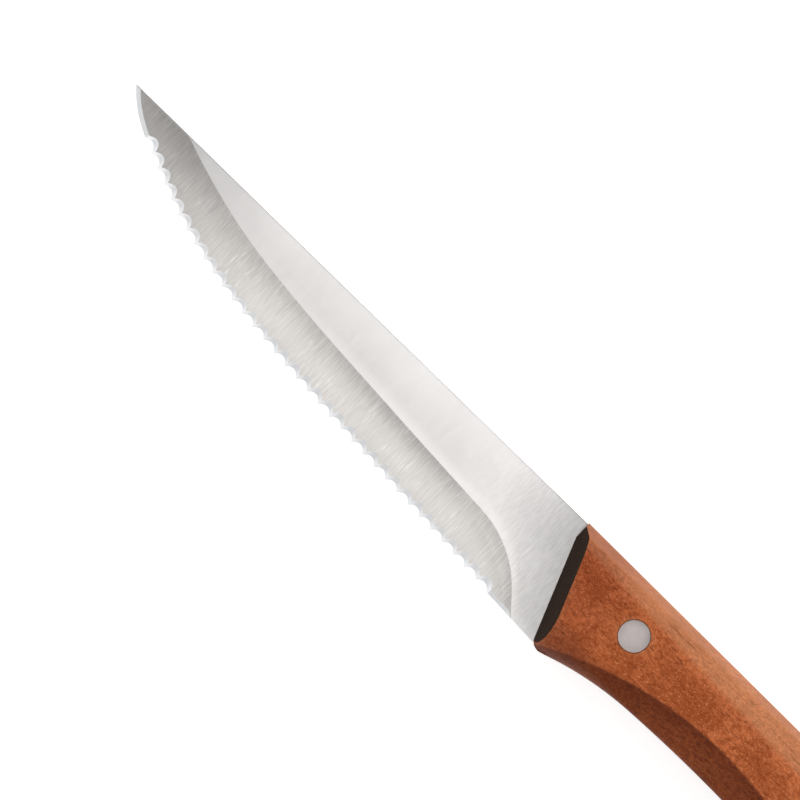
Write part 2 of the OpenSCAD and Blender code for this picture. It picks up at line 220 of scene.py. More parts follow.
LOW_START = low_outline()[0]


# Shape of the steel

def full_grind_width(run):
    return GRIND_W - (GRIND_W - GRIND_TIP_W) * (1 - run / EDGE_L) ** GRIND_POWER


PLUNGE_ARC_L = PLUNGE_R * sin(PLUNGE_ANGLE)
PLUNGE_STRAIGHT_L = (GRIND_W - PLUNGE_R * (1 - cos(PLUNGE_ANGLE))) / tan(PLUNGE_ANGLE)
PLUNGE_START = EDGE_L - CHOIL - PLUNGE_STRAIGHT_L - PLUNGE_ARC_L


def grind_width(run):
    if run <= PLUNGE_START:
        return full_grind_width(run)
    if run <= PLUNGE_START + PLUNGE_ARC_L:
        return full_grind_width(run) - PLUNGE_R + sqrt(PLUNGE_R ** 2 - (run - PLUNGE_START) ** 2)
    return max(0.0, (EDGE_L - CHOIL - run) * tan(PLUNGE_ANGLE))


def ground_z(run, inward):
    """Height of the ground face over the middle plane."""
    share = (grind_width(run) - inward) / full_grind_width(run)
    if share <= 0:
        return BLADE_T / 2
    return BLADE_T / 2 - (BLADE_T - EDGE_T) / 2 * (1 - max(0.0, 1 - share) ** HOLLOW_POWER)


def bevel_reach(run):
    """Distance from the edge at which the teeth's bevel meets the level of the lower face."""
    reach = -TIP_LAND / tan(BEVEL) if run < TEETH_START else -1.0
    if run > TEETH_END:
        width = HEEL_BEVEL_W * (1 - between(run, EDGE_L - CHOIL - HEEL_BEVEL_FADE, EDGE_L - CHOIL))
        reach = width - (ground_z(run, width) + EDGE_T / 2) / tan(BEVEL)
    nearest = int((run - TEETH_START) // TOOTH_PITCH)
    for tooth in range(max(0, nearest - 1), min(TOOTH_COUNT, nearest + 2)):
        off = run - TEETH_START - (tooth + 0.5) * TOOTH_PITCH
        if abs(off) < SCALLOP_R:
            rise = SCALLOP_R - sqrt(SCALLOP_R ** 2 - off ** 2)
            reach = max(reach, TOOTH_DEPTH - rise / sin(BEVEL))
    return reach


def spine_distance(place):
    """Distance from the edge to the spine, square to the edge."""
    x, y, heading = place
    across = -y / cos(heading)
    if x - across * sin(heading) > 0:
        across = (-y - x * tan(TOP_FALL)) / (cos(heading) - sin(heading) * tan(TOP_FALL))
    return across


def blade_ring(run):
    """Places round the blade's section at a run along the edge: once round from the cutting edge."""
    place = edge_place(run)
    span = max(0.0, spine_distance(place))
    reach, slope = bevel_reach(run), tan(BEVEL)
    low = inner = max(reach, 0.0)
    for _ in range(8):
        low = reach - (ground_z(run, max(low, 0.0)) - EDGE_T / 2) / slope
        inner = reach + (ground_z(run, max(inner, 0.0)) + EDGE_T / 2) / slope
    low, inner = min(max(low, 0.0), span), min(max(inner, 0.0), span)

    def upper(inward):
        return min(ground_z(run, inward), (inward - reach) * slope - EDGE_T / 2)

    def lower(inward):
        return -ground_z(run, inward)

    rim = min(SPINE_ROUND, 0.3 * (upper(span) - lower(span)), span / 5)
    flat_end = span - 2.5 * rim
    line = min(max(grind_width(run), inner), flat_end)
    line_below = min(max(grind_width(run), low), flat_end)
    soft = (1 - sqrt(0.5)) * rim
    ring = [(low, lower(low)), (low, upper(low))]
    for k in range(HOLLOW_ROWS + 1):
        inward = inner + (line - inner) * k / HOLLOW_ROWS
        ring.append((inward, upper(inward)))
    ring += [(flat_end, upper(flat_end)), (span - rim, upper(span - rim)),
             (span - soft, upper(span) - soft), (span, upper(span) - rim),
             (span, lower(span) + rim), (span - soft, lower(span) + soft),
             (span - rim, lower(span - rim)), (flat_end, lower(flat_end))]
    for k in range(HOLLOW_ROWS, -1, -1):
        inward = low + (line_below - low) * k / HOLLOW_ROWS
        ring.append((inward, lower(inward)))
    return [(*left_of(place, inward), z, inward - grind_width(run)) for inward, z in ring]


def tang_low_y(x):
    """Lower outline of the tang, which keeps inside the wood as far as the wood stands proud."""
    first = left_of(underside(UNDERSIDE_ARCS[0][1]), WOOD_PROUD)
    if x < first[0]:
        return HEEL[1] + (first[1] - HEEL[1]) * (x - HEEL[0]) / (first[0] - HEEL[0])
    run = UNDERSIDE_ARCS[0][1]
    while run < UNDERSIDE_L and left_of(underside(run), WOOD_PROUD)[0] < min(x, TANG_TAPER_X):
        run += 0.0002
    y = left_of(underside(run), WOOD_PROUD)[1]
    end_y = -TANG_L * tan(TOP_FALL) - TANG_END_H
    return y if x <= TANG_TAPER_X else y + (end_y - y) * (x - TANG_TAPER_X) / (TANG_L - TANG_TAPER_X)


def tang_ring(x):
    """Places round the tang's section, in the blade ring's order."""
    low, high, half = tang_low_y(x), -x * tan(TOP_FALL), BLADE_T / 2
    into = x - (TANG_L - TANG_CORNER_R)
    if into > 0:
        cut = TANG_CORNER_R - sqrt(max(0.0, TANG_CORNER_R ** 2 - into ** 2))
        low, high = low + cut, high - cut
    rim = SPINE_ROUND
    soft, flat_end = (1 - sqrt(0.5)) * rim, high - 2.5 * rim
    ring = [(low, -half)] + [(low + (flat_end - low) * max(0, k - 1) / HOLLOW_ROWS, half)
                             for k in range(HOLLOW_ROWS + 2)]
    ring += [(flat_end, half), (high - rim, half), (high - soft, half - soft), (high, half - rim),
             (high, rim - half), (high - soft, soft - half), (high - rim, -half), (flat_end, -half)]
    ring += [(low + (flat_end - low) * k / HOLLOW_ROWS, -half) for k in range(HOLLOW_ROWS, -1, -1)]
    return [(x, y, z, 1.0) for y, z in ring]


# Shape of the wood

def between(value, low, high):
    """Share of the way from low to high, eased at both ends."""
    share = min(max((value - low) / (high - low), 0.0), 1.0)
    return share * share * (3 - 2 * share)


def plane_height(x, y, start, line, tilt, height):
    """Height of a plane that falls to the left of a line through start at an angle."""
    return height - (cos(line) * (y - start[1]) - sin(line) * (x - start[0])) * tan(tilt)


def softer_of(a, b, soft):
    """The lower of two heights, with a rounded change from one to the other."""
    return min(a, b) - max(0.0, 2 * soft - abs(a - b)) ** 2 / (8 * soft)


def side_height(x, y):
    """Height of the wood over the middle plane, without its leaning front."""
    top, back = HANDLE_T / 2, between(x, *SOFT_CHANGE)
    soft = [front + (rear - front) * back for front, rear in (TOP_SOFT, TOP_EDGE_SOFT, LOW_SOFT)]
    upper = plane_height(x, y, (0, top_y(0) - TOP_FACET_W), -TOP_FALL - TOP_FACET_SPREAD,
                         TOP_FACET_TILT, top)
    edge = plane_height(x, y, (0, top_y(0) - TOP_EDGE_W), -TOP_FALL, TOP_EDGE_TILT,
                        top - (TOP_FACET_W - TOP_EDGE_W) * tan(TOP_FACET_TILT))
    beyond = hypot(x - LOW_FACET_X, y - LOW_FACET_Y + LOW_FACET_R) - LOW_FACET_R
    lower = top + beyond * tan(LOW_FACET_TILT)
    chin = plane_height(x, y, (CHIN[0], CHIN[1] + CHIN_FACET_H), -CHIN_FACET_FALL, -CHIN_FACET_TILT, top)
    butt = plane_height(x, y, (HANDLE_L - BUTT_FACET_W, 0), BUTT_HEADING - pi, BUTT_FACET_TILT, top)
    height = softer_of(softer_of(top, upper, soft[0]), edge, soft[1])
    height = softer_of(softer_of(height, lower, soft[2]), chin, LOW_SOFT[0])
    return softer_of(height, butt, BUTT_SOFT)


def rim_drop(distance, radius):
    """How far a rounded rim has fallen at a distance from its outline."""
    short = max(0.0, radius - max(0.0, distance))
    return radius - sqrt(radius ** 2 - short ** 2)


def front_bend(share):
    """How far the wood's front stands from a straight line, at a share of the way up."""
    y = LOW_START[1] + (WOOD_PROUD - LOW_START[1]) * share
    return max(0.0, -NOSE_H - y) * tan(NOSE_SLANT) - LOW_START[0] * (1 - share)


def handle_ring(low, high):
    """Places round the wood's section on a line through its side view, and how far each is on the
    front."""
    length = hypot(high[0] - low[0], high[1] - low[1])
    low_round = CHIN_ROUND + (LOW_ROUND - CHIN_ROUND) * between(high[0], *CHIN_ROUND_FADE)
    inside = spread(low_round, length - TOP_ROUND, (length - low_round - TOP_ROUND) / HANDLE_ROWS)
    half = []
    for along in ([low_round * step for step in RIM_STEPS] + inside[:HANDLE_ROWS] + [length - TOP_ROUND]
                  + [length - TOP_ROUND * step for step in RIM_STEPS[::-1]]):
        x, y = (low[i] + (high[i] - low[i]) * along / length for i in (0, 1))
        x += front_bend(along / length) * (1 - between(high[0], *FRONT_BEND_FADE))
        to_butt = sin(BUTT_HEADING) * (HANDLE_L - x) - cos(BUTT_HEADING) * (top_y(HANDLE_L) - y)
        drop = max(rim_drop(along, low_round), rim_drop(min(length - along, to_butt), TOP_ROUND))
        side = max(side_height(x, y) - drop, RIM_HALF)
        behind = x * cos(NOSE_SLANT) + (y + NOSE_H) * sin(NOSE_SLANT)
        nose = BLADE_T / 2 + max(0.0, behind) / tan(NOSE_LEAN)
        half.append((x, y, softer_of(side, nose, min(NOSE_SOFT, nose / 8)), side - nose))
    return half + [(x, y, -z, front) for x, y, z, front in reversed(half)] + half[:1]


def spread(start, end, step):
    """Numbers from start up to, but without, end."""
    count = ceil((end - start) / step)
    return [start + (end - start) * i / count for i in range(count)]


# Meshes

def in_frame(bm):
    """Moves a mesh from the handle's front to its place in the frame."""
    bmesh.ops.translate(bm, verts=bm.verts, vec=(FRONT_X, SPINE_Y, MID_Z))


def mark_sharp(bm, angle):
    """Smooth faces, with crisp edges where two meet at more than the angle or differ in finish."""
    for face in bm.faces:
        face.smooth = True
    for edge in bm.edges:
        faces = edge.link_faces
        edge.smooth = (len(faces) == 2 and faces[0].material_index == faces[1].material_index
                       and edge.calc_face_angle(0) < angle)


def new_object(name, bm, materials):
    mesh = bpy.data.meshes.new(name)
    bm.to_mesh(mesh)
    bm.free()
    piece = bpy.data.objects.new(name, mesh)
    bpy.context.scene.collection.objects.link(piece)
    for material in materials:
        mesh.materials.append(material)
    return piece


def apply_modifiers(piece):
    bpy.context.view_layer.update()
    result = piece.evaluated_get(bpy.context.evaluated_depsgraph_get())
    mesh = bpy.data.meshes.new_from_object(result)
    piece.modifiers.clear()
    old, piece.data = piece.data, mesh
    bpy.data.meshes.remove(old)


def cut_away(piece, *cutters):
    """Takes the cutters' space out of a piece."""
    for cutter in cutters:
        step = piece.modifiers.new("cut", "BOOLEAN")
        step.operation, step.solver, step.object = "DIFFERENCE", "EXACT", cutter
    apply_modifiers(piece)
    for cutter in cutters:
        mesh = cutter.data
        bpy.data.objects.remove(cutter)
        bpy.data.meshes.remove(mesh)


def cylinder_cutter(x, radius, low, high):
    bm = bmesh.new()
    bmesh.ops.create_cone(bm, cap_ends=True, segments=SIDES, radius1=radius, radius2=radius,
                          depth=high - low)
    bmesh.ops.translate(bm, verts=bm.verts, vec=(x, -RIVET_DROP, (low + high) / 2))
    in_frame(bm)
    return new_object("cutter", bm, [])


def sheet(rings, layer):
    """A grid bent over rings of (x, y, z, value), with each value kept in a layer, and its points' rows."""
    bm = bmesh.new()
    around, across = len(rings) - 1, len(rings[0]) - 1
    bmesh.ops.create_grid(bm, x_segments=around, y_segments=across, size=1)
    values = bm.verts.layers.float.new(layer)
    row_of = {}
    for vert in bm.verts:
        i = round((vert.co.x + 1) / 2 * around)
        j = row_of[vert] = round((vert.co.y + 1) / 2 * across)
        x, y, z, vert[values] = rings[i][j]
        vert.co = x, y, z
    return bm, row_of


def fill_holes(bm):
    bmesh.ops.holes_fill(bm, edges=[edge for edge in bm.edges if edge.is_boundary])


def blade_rings():
    """The blade's sections from the tip to the handle, and the tang's from there to its rounded end."""
    runs = spread(0, TEETH_START - TEETH_IN_L, EDGE_STEP)
    runs += spread(TEETH_START - TEETH_IN_L, TEETH_START, TEETH_IN_STEP)
    runs += spread(TEETH_START, TEETH_END, TOOTH_PITCH / SCALLOP_STEPS)
    runs += spread(TEETH_END, TEETH_END + TEETH_OUT_L, TEETH_OUT_STEP)
    runs += spread(TEETH_END + TEETH_OUT_L, EDGE_L, EDGE_STEP) + [EDGE_L]
    bends = spread(0, pi / 2, pi / 16) + [pi / 2]
    tang_xs = spread(TANG_START_X, TANG_L - TANG_CORNER_R, TANG_STEP)
    tang_xs += [TANG_L - TANG_CORNER_R * (1 - sin(bend)) for bend in bends]
    return [blade_ring(run) for run in runs] + [tang_ring(x) for x in tang_xs]


def blade_piece(flat_steel, ground_steel, tooth_steel):
    """The blade and tang: a sheet bent round the section, which changes from the tip to the tang's end."""
    rings = blade_rings()
    bm, row_of = sheet(rings, "grind_gap")
    line_row, lower_line_row = HOLLOW_ROWS + 2, len(rings[0]) - 1 - HOLLOW_ROWS
    for face in bm.faces:
        row = min(row_of[vert] for vert in face.verts)
        inside = face.calc_center_median().x > ALL_FLAT_X
        ground = 2 <= row < line_row or row >= lower_line_row
        face.material_index = 0 if inside else 2 if row < 2 else 1 if ground else 0
    bmesh.ops.remove_doubles(bm, verts=bm.verts, dist=SHEET_WELD)
    bmesh.ops.dissolve_degenerate(bm, edges=bm.edges, dist=LEAST_EDGE)
    fill_holes(bm)
    bmesh.ops.recalc_face_normals(bm, faces=bm.faces)
    in_frame(bm)
    mark_sharp(bm, BLADE_CRISP)
    blade = new_object("ground_blade", bm, [flat_steel, ground_steel, tooth_steel])
    radius = SLEEVE_D / 2 + SLEEVE_GAP
    cut_away(blade, *[cylinder_cutter(x, radius, -BLADE_T, BLADE_T) for x in RIVET_XS])
    return blade


def slot_cutter():
    """The saw's path: a thin plate with a round end."""
    bm = bmesh.new()
    slot_l = TANG_L + SLOT_EXTRA
    half = asin(SLOT_HALF_H / SAW_R)
    first = bm.verts.new((slot_l - SAW_R * (1 - cos(half)), HEEL[1] / 2 - SAW_R * sin(half), 0))
    last = bmesh.ops.spin(bm, geom=[first], cent=(slot_l - SAW_R, HEEL[1] / 2, 0), axis=(0, 0, 1),
                          angle=2 * half, steps=SLOT_STEPS, use_duplicate=False)["geom_last"][0]
    corners = [last, *(bm.verts.new((SLOT_START_X, end.co.y, 0)) for end in (last, first)), first]
    for start, stop in zip(corners, corners[1:]):
        bm.edges.new((start, stop))
    bmesh.ops.contextual_create(bm, geom=bm.edges)
    thickness = BLADE_T + 2 * SLOT_GAP
    bmesh.ops.translate(bm, verts=bm.verts, vec=(0, 0, -thickness / 2))
    walls = bmesh.ops.extrude_face_region(bm, geom=bm.faces)
    moved = [item for item in walls["geom"] if isinstance(item, bmesh.types.BMVert)]
    bmesh.ops.translate(bm, verts=moved, vec=(0, 0, thickness))
    bmesh.ops.recalc_face_normals(bm, faces=bm.faces)
    in_frame(bm)
    return new_object("cutter", bm, [])


def handle_body(material):
    """The wood before it is sawn and bored: a sheet bent round the section, which changes to the butt."""
    (low, low_arcs), (top, top_arcs) = low_outline(), top_outline()
    low_l, top_l = (sum(run for _, run in arcs) for arcs in (low_arcs, top_arcs))
    runs = spread(0, FRONT_STEPS_L, FRONT_STEP)
    runs += spread(FRONT_STEPS_L, top_l - BUTT_STEPS_L, MIDDLE_STEP)
    runs += spread(top_l - BUTT_STEPS_L, top_l, BUTT_STEP) + [top_l]
    bm, _ = sheet([handle_ring(walk(low, low_arcs, run / top_l * low_l), walk(top, top_arcs, run))
                   for run in runs], "on_front")
    bmesh.ops.remove_doubles(bm, verts=bm.verts, dist=SHEET_WELD)
    fill_holes(bm)
    bmesh.ops.recalc_face_normals(bm, faces=bm.faces)
    in_frame(bm)
    return new_object("wooden_handle", bm, [material])


def handle_piece(material):
    """The wood with its saw slot, and with a bore and two counterbores for each rivet."""
    handle = handle_body(material)
    half, tube, head = HANDLE_T / 2, SLEEVE_D / 2 + SLEEVE_GAP, HEAD_D / 2 + HEAD_GAP
    cutters = [slot_cutter()]
    for x in RIVET_XS:
        cutters += [cylinder_cutter(x, tube, -half - OVER, half + OVER),
                    cylinder_cutter(x, head, half - HEAD_T, half + OVER),
                    cylinder_cutter(x, head, -half - OVER, HEAD_T - half)]
    cut_away(handle, *cutters)
    bm = bmesh.new()
    bm.from_mesh(handle.data)
    # The cuts leave out slivers at a counterbore, and their large faces would export as faces of no area
    fill_holes(bm)
    bmesh.ops.triangulate(bm, faces=[face for face in bm.faces if len(face.verts) > 4])
    bmesh.ops.recalc_face_normals(bm, faces=bm.faces)
    mark_sharp(bm, CRISP)
    bm.to_mesh(handle.data)
    bm.free()
    return handle


def turned_piece(name, x, profile, flip, material):
    """Spins a profile of (radius, height) round a rivet's axis. Heights are from the head's outer face."""
    bm = bmesh.new()
    verts = [bm.verts.new((radius, 0, -height)) for radius, height in profile]
    edges = [bm.edges.new(pair) for pair in zip(verts, verts[1:])]
    bmesh.ops.spin(bm, geom=verts + edges, cent=(0, 0, 0), axis=(0, 0, 1), angle=2 * pi, steps=SIDES,
                   use_merge=True, use_duplicate=False)
    bmesh.ops.remove_doubles(bm, verts=bm.verts, dist=TURNED_WELD)
    bmesh.ops.translate(bm, verts=bm.verts, vec=(0, 0, HANDLE_T / 2))
    if flip:
        bmesh.ops.rotate(bm, verts=bm.verts, cent=(0, 0, 0), matrix=Matrix.Rotation(pi, 3, "X"))
    bmesh.ops.translate(bm, verts=bm.verts, vec=(x, -RIVET_DROP, 0))
    bmesh.ops.recalc_face_normals(bm, faces=bm.faces)
    in_frame(bm)
    mark_sharp(bm, CRISP)
    return new_object(name, bm, [material])


def head_profile():
    """A rivet's head with its rounded rim, from the axis outside to the rim inside."""
    head, eased = HEAD_D / 2, HEAD_ROUND * (1 - sqrt(0.5))
    return [(0, 0), (head * 0.5, 0), (head - HEAD_ROUND, HEAD_DOME), (head - eased, eased + HEAD_DOME),
            (head, HEAD_ROUND), (head, HEAD_T)]


def rivet_pin(name, x, material):
    """The solid half. Inside the tube, its shank ends 2 mm before the CAD solid's."""
    shank, end = PIN_D / 2, HANDLE_T - HEAD_T - 2 * RIVET_SLACK - HEAD_T
    profile = [(shank, HEAD_T), (shank, end - PIN_CHAMFER), (shank - PIN_CHAMFER, end), (0, end)]
    return turned_piece(name, x, head_profile() + profile, False, material)


def rivet_sleeve(name, x, material):
    """The hollow half."""
    tube, bore, end = SLEEVE_D / 2, PIN_D / 2 + PIN_GAP, HANDLE_T - HEAD_T - RIVET_SLACK
    profile = [(tube, HEAD_T), (tube, end), (bore, end), (bore, HEAD_T + RIVET_SLACK),
               (0, HEAD_T + RIVET_SLACK)]
    return turned_piece(name, x, head_profile() + profile, True, material)


# Materials: colours are (red, green, blue), and a pair is light and dark

FLAT_COLOURS = (0.86, 0.836, 0.821), (0.78, 0.758, 0.745)
GROUND_COLOURS, STROKE = ((0.915, 0.876, 0.840), (0.66, 0.634, 0.608)), (0.97, 0.94, 0.91)
TOOTH_COLOURS = (0.985, 0.99, 1.0), (0.94, 0.95, 0.965)
ALUMINIUM, ALUMINIUM_DARK = (0.643, 0.572, 0.553), (0.550, 0.487, 0.471)
# The rivets' rim colour is rubbed metal with a painted highlight
ALUMINIUM_RUB_AND_HIGHLIGHT = (0.78, 0.73, 0.71)
# The wood's rubbed colour lightens edges as wear and as a painted highlight
WOOD, WOOD_DARK, WOOD_RUB_AND_HIGHLIGHT = (0.58, 0.156, 0.050), (0.255, 0.046, 0.007), (0.62, 0.26, 0.11)
WOOD_BAND, WOOD_CLOUD, WOOD_SPECK = (0.55, 0.155, 0.052), (0.275, 0.050, 0.007), (0.80, 0.31, 0.13)
# The top facet's pale colour is paler wood with a painted sheen
PORE, TOP_WOOD_AND_SHEEN, TOP_STREAK = (0.075, 0.014, 0.003), (0.56, 0.30, 0.15), (0.17, 0.045, 0.012)
# The lower facet's darkening is painted shade
LOW_FACET_SHADE, FRONT_DARKENING = (0.45, 0.34, 0.22), (0.72, 0.60, 0.58)
# End grain: its own dark colour with painted shade
END_GRAIN_AND_SHADE, END_GRAIN_AND_SHADE_DARK = (0.050, 0.028, 0.018), (0.012, 0.006, 0.0035)


def node_group(name, inputs, outputs):
    group = bpy.data.node_groups.new(name, "ShaderNodeTree")
    for label, kind, value in inputs:
        socket = group.interface.new_socket(label, in_out="INPUT", socket_type=kind)
        if value is not None:
            socket.default_value = value
    for label, kind in outputs:
        group.interface.new_socket(label, in_out="OUTPUT", socket_type=kind)
    return group, group.nodes.new("NodeGroupInput"), group.nodes.new("NodeGroupOutput")


def scaled(tree, vector, scale):
    node = tree.nodes.new("ShaderNodeMapping")
    node.inputs["Scale"].default_value = scale
    tree.links.new(vector, node.inputs["Vector"])
    return node.outputs["Vector"]


def noise(tree, vector, scale, detail, roughness, distortion):
    node = tree.nodes.new("ShaderNodeTexNoise")
    node.inputs["Scale"].default_value = scale
    node.inputs["Detail"].default_value = detail
    node.inputs["Roughness"].default_value = roughness
    node.inputs["Distortion"].default_value = distortion
    tree.links.new(vector, node.inputs["Vector"])
    return node.outputs["Fac"]


def remap(tree, value, low, high, to_low=0.0, to_high=1.0, smooth=False):
    node = tree.nodes.new("ShaderNodeMapRange")
    node.interpolation_type = "SMOOTHSTEP" if smooth else "LINEAR"
    node.inputs["From Min"].default_value, node.inputs["From Max"].default_value = low, high
    node.inputs["To Min"].default_value, node.inputs["To Max"].default_value = to_low, to_high
    tree.links.new(value, node.inputs["Value"])
    return node.outputs["Result"]


def attribute(tree, name):
    node = tree.nodes.new("ShaderNodeAttribute")
    node.attribute_name = name
    return node.outputs["Fac"]


def vector_maths(tree, kind, vector):
    """A vector maths node with its first input linked."""
    node = tree.nodes.new("ShaderNodeVectorMath")
    node.operation = kind
    tree.links.new(vector, node.inputs[0])
    return node


def distance_from(tree, place, point, normal):
    """How far a place is from a plane, on the side that the normal points to."""
    node = vector_maths(tree, "DOT_PRODUCT", place)
    direction = Vector(normal).normalized()
    node.inputs[1].default_value = direction
    return maths(tree, "SUBTRACT", node.outputs["Value"], direction.dot(Vector(point)))


def maths(tree, kind, first, second):
    node = tree.nodes.new("ShaderNodeMath")
    node.operation = kind
    for socket, value in zip(node.inputs, (first, second)):
        if isinstance(value, (int, float)):
            socket.default_value = value
        else:
            tree.links.new(value, socket)
    return node.outputs[0]


def mix(tree, factor, first, second, blend="MIX"):
    node = tree.nodes.new("ShaderNodeMix")
    node.data_type, node.blend_type = "RGBA", blend
    for name, value in (("Factor", factor), ("A", first), ("B", second)):
        socket = [s for s in node.inputs if s.name == name and s.enabled][0]
        if isinstance(value, (int, float)):
            socket.default_value = value
        elif isinstance(value, tuple):
            socket.default_value = (*value, 1)
        else:
            tree.links.new(value, socket)
    return [s for s in node.outputs if s.enabled][0]


def brush_group():
    """Fine lines that a belt leaves across the blade, with a few deeper ones and some bright strokes."""
    group, start, end = node_group("Brush lines", [
        ("Vector", "NodeSocketVector", None), ("Line width", "NodeSocketFloat", 0.0002),
    ], [(name, "NodeSocketFloat") for name in ("Lines", "Deep lines", "Bright strokes")])
    per_line = maths(group, "DIVIDE", 1.0, start.outputs["Line width"])
    node = vector_maths(group, "SCALE", start.outputs["Vector"])
    group.links.new(per_line, node.inputs["Scale"])
    fine = noise(group, scaled(group, node.outputs[0], (1, 0.035, 0.3)), 1.0, 3, 0.6, 0.1)
    deep = noise(group, scaled(group, node.outputs[0], (0.35, 0.012, 0.3)), 1.0, 4, 0.7, 0.2)
    group.links.new(fine, end.inputs["Lines"])
    group.links.new(remap(group, deep, 0.55, 0.75), end.inputs["Deep lines"])
    stroke = noise(group, scaled(group, node.outputs[0], (1, 0.06, 0.3)), 1.0, 2, 0.5, 0.0)
    group.links.new(remap(group, stroke, 0.56, 0.63), end.inputs["Bright strokes"])
    return group


def cloud_group():
    """Soft blotches over a surface."""
    group, start, end = node_group("Clouds", [
        ("Vector", "NodeSocketVector", None), ("Size", "NodeSocketFloat", 0.01),
    ], [("Clouds", "NodeSocketFloat")])
    node = vector_maths(group, "SCALE", start.outputs["Vector"])
    group.links.new(maths(group, "DIVIDE", 1.0, start.outputs["Size"]), node.inputs["Scale"])
    group.links.new(noise(group, node.outputs[0], 1.0, 3, 0.55, 0.3), end.inputs["Clouds"])
    return group


def rub_and_highlight_group():
    """Share of a rubbed edge at a place: 1 on a convex edge, 0 on a flat face. It lightens edges both as
    wear and as a painted highlight.
    """
    group, start, end = node_group("Edge rub and highlight", [
        ("Low", "NodeSocketFloat", 0.52), ("High", "NodeSocketFloat", 0.6),
    ], [("Rub and highlight", "NodeSocketFloat")])
    geometry = group.nodes.new("ShaderNodeNewGeometry")
    node = group.nodes.new("ShaderNodeMapRange")
    group.links.new(geometry.outputs["Pointiness"], node.inputs["Value"])
    group.links.new(start.outputs["Low"], node.inputs["From Min"])
    group.links.new(start.outputs["High"], node.inputs["From Max"])
    group.links.new(node.outputs["Result"], end.inputs["Rub and highlight"])
    return group


def use(tree, group, vector=None, **values):
    """Places a group in a material, with its own values."""
    node = tree.nodes.new("ShaderNodeGroup")
    node.node_tree = group
    if vector is not None:
        tree.links.new(vector, node.inputs["Vector"])
    for name, value in values.items():
        node.inputs[name.replace("_", " ")].default_value = value
    return node


def new_material(name):
    material = bpy.data.materials.new(name)
    material.use_nodes = True
    tree = material.node_tree
    place = tree.nodes.new("ShaderNodeTexCoord").outputs["Object"]
    return material, tree, tree.nodes["Principled BSDF"], place


def bump(tree, shader, height, distance):
    node = tree.nodes.new("ShaderNodeBump")
    node.inputs["Strength"].default_value = 1.0
    node.inputs["Distance"].default_value = distance
    tree.links.new(height, node.inputs["Height"])
    tree.links.new(node.outputs["Normal"], shader.inputs["Normal"])


def steel(name, groups, light, dark, roughness, line_width, line_depth, contrast):
    """Ground stainless steel: brush lines in its colour, roughness and bump, over soft clouds."""
    material, tree, shader, place = new_material(name)
    brush = use(tree, groups["brush"], place, Line_width=line_width)
    clouds = use(tree, groups["clouds"], place, Size=0.012).outputs[0]
    tone = maths(tree, "ADD", maths(tree, "MULTIPLY", brush.outputs["Lines"], contrast),
                 maths(tree, "MULTIPLY", clouds, 1 - contrast))
    colour = mix(tree, remap(tree, tone, 0.35, 0.65), dark, light)
    shader.inputs["Metallic"].default_value = 1.0
    tree.links.new(remap(tree, brush.outputs["Lines"], 0.3, 0.7, roughness - 0.04, roughness + 0.05),
                   shader.inputs["Roughness"])
    height = maths(tree, "SUBTRACT", brush.outputs["Lines"],
                   maths(tree, "MULTIPLY", brush.outputs["Deep lines"], 0.6))
    bump(tree, shader, height, line_depth)
    return material, tree, shader, place, colour


def shaded(tree, colour, shades, limit):
    """A colour times the product of some shares, which is held under a limit."""
    product = shades[0]
    for shade in shades[1:]:
        product = maths(tree, "MULTIPLY", product, shade)
    node = vector_maths(tree, "SCALE", colour)
    tree.links.new(maths(tree, "MINIMUM", product, limit), node.inputs["Scale"])
    return node.outputs[0]


def from_tip(tree, place):
    return distance_from(tree, place, (FRONT_X - BLADE_L, SPINE_Y, 0), (1, -0.3, 0))


def from_handle(tree, place):
    """Distance from the slanted front end of the wood."""
    return distance_from(tree, place, (FRONT_X, SPINE_Y - NOSE_H, 0),
                         (-cos(NOSE_SLANT), -sin(NOSE_SLANT), 0))


def flat_steel(groups):
    """The blade's flat. Its colour is painted brighter towards the handle, the spine and the grind line,
    and painted duller at its ends, as painted light and shade."""
    material, tree, shader, place, colour = steel(
        "Satin steel", groups, *FLAT_COLOURS, roughness=0.36, line_width=0.00022, line_depth=0.000002,
        contrast=0.5)
    gap = attribute(tree, "grind_gap")
    depth = distance_from(tree, place, (0, SPINE_Y, 0), (0, -1, 0))
    from_wood = from_handle(tree, place)
    across = scaled(tree, place, (1, 4, 1))
    scratch = use(tree, groups["brush"], across, Line_width=0.00028).outputs["Lines"]
    near_wood = remap(tree, from_wood, 0.026, 0.008)
    # Painted highlight on the flat along the grind line
    painted_line_highlight = maths(tree, "MULTIPLY", remap(tree, gap, 0.0026, 0.0002, 0.0, 1.0, True),
                        remap(tree, from_tip(tree, place), 0.030, 0.080, 0.02, 0.13))
    scratches = maths(tree, "MULTIPLY", near_wood, remap(tree, scratch, 0.35, 0.65, -0.08, 0.08))
    # Painted light on the heel, near the wood and away from the spine
    painted_heel_light = maths(tree, "MULTIPLY", near_wood, remap(tree, depth, 0.004, 0.012, 0.0, 0.14, True))
    # Painted light and shade: dull at the tip, brighter and then darker towards the wood, a dark line at
    # the spine, brighter near the spine and at the heel, and a painted highlight beside the grind line.
    # Only the scratches are marks on the steel.
    colour = shaded(tree, colour, [
        remap(tree, from_tip(tree, place), -0.004, 0.044, 0.53, 1.0, True),
        remap(tree, from_wood, 0.081, 0.020, 1.0, 1.15),
        remap(tree, from_wood, 0.0, 0.017, 0.60, 1.0),
        remap(tree, depth, 0.0001, 0.0005, 0.95, 1.0),
        remap(tree, depth, 0.001, 0.0075, 1.03, 0.91),
        maths(tree, "ADD", painted_heel_light, 1.0),
        maths(tree, "ADD", painted_line_highlight, 1.0),
        maths(tree, "ADD", scratches, 1.0)], 1.17)
    tree.links.new(colour, shader.inputs["Base Color"])
    return material


